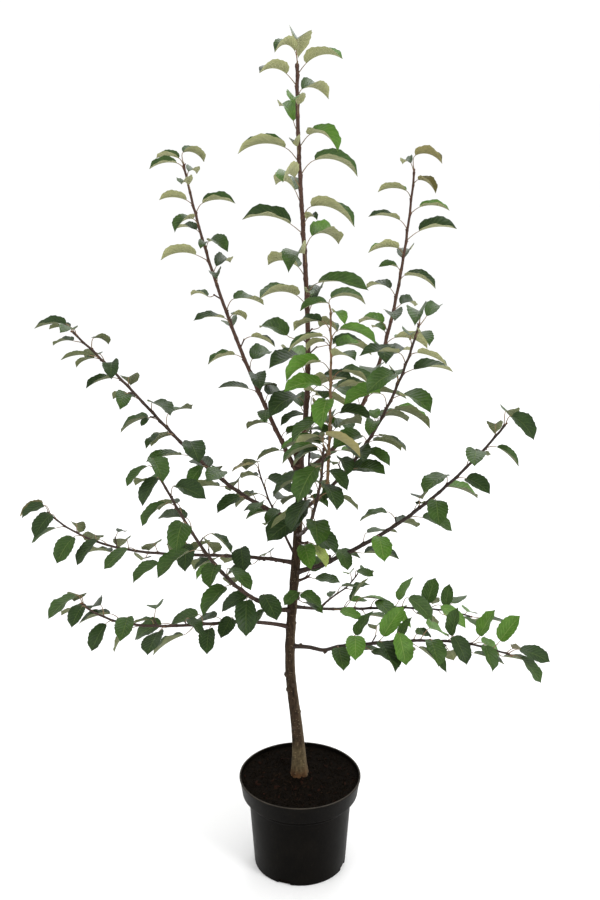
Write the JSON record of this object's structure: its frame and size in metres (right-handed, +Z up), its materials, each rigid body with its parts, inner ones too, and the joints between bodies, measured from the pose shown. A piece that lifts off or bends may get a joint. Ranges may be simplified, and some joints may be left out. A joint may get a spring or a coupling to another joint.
{
  "type": "dwarf apple tree in a pot",
  "caption": "Young pruned apple tree in full leaf, with a bowed trunk, a tall leader and spreading shoots, standing in a round black nursery pot of compost.",
  "frame": {"origin": "centre of the pot's flat underside, where the plant stands on the ground", "axes": "+Z up along the trunk, -Y towards the side that the picture shows, +X to its right"},
  "size_m": [1.0957, 0.5448, 1.7364],
  "materials": {
    "pot_plastic": "satin black moulded plastic, lightly scuffed and dusty",
    "compost": "moist dark peat and bark compost, crumbly, with reddish bark chips",
    "trunk_bark": "matt grey-brown bark with pale lenticels and a rough orange-brown foot",
    "shoot_bark": "smooth satin purplish-brown young bark with small pale lenticels",
    "foliage": "satin dark green leaves with pale grey-green undersides"
  },
  "bodies": {
    "root": {"pot": "pot_plastic", "soil": "compost", "trunk": "trunk_bark", "leader": "shoot_bark", "bough_left_high": "shoot_bark", "bough_left_middle": "shoot_bark", "bough_left_level": "shoot_bark", "bough_left_rising": "shoot_bark", "bough_left_low": "shoot_bark", "bough_right_low": "shoot_bark", "bough_right_slender": "shoot_bark", "bough_right_rising": "shoot_bark", "bough_right_high": "shoot_bark", "bough_right_middle": "shoot_bark", "leaves_leader": "foliage", "leaves_left_high": "foliage", "leaves_left_middle": "foliage", "leaves_left_level": "foliage", "leaves_left_rising": "foliage", "leaves_left_low": "foliage", "leaves_right_low": "foliage", "leaves_right_slender": "foliage", "leaves_right_rising": "foliage", "leaves_right_high": "foliage", "leaves_right_middle": "foliage", "leaves_upright_shoot": "foliage", "leaves_front_shoot": "foliage", "leaves_back_shoot": "foliage", "leaves_back_left_shoot": "foliage", "leaves_right_twig": "foliage", "leaves_spur_high": "foliage", "leaves_spur_middle": "foliage", "leaves_spur_low": "foliage"}
  },
  "joints": []
}
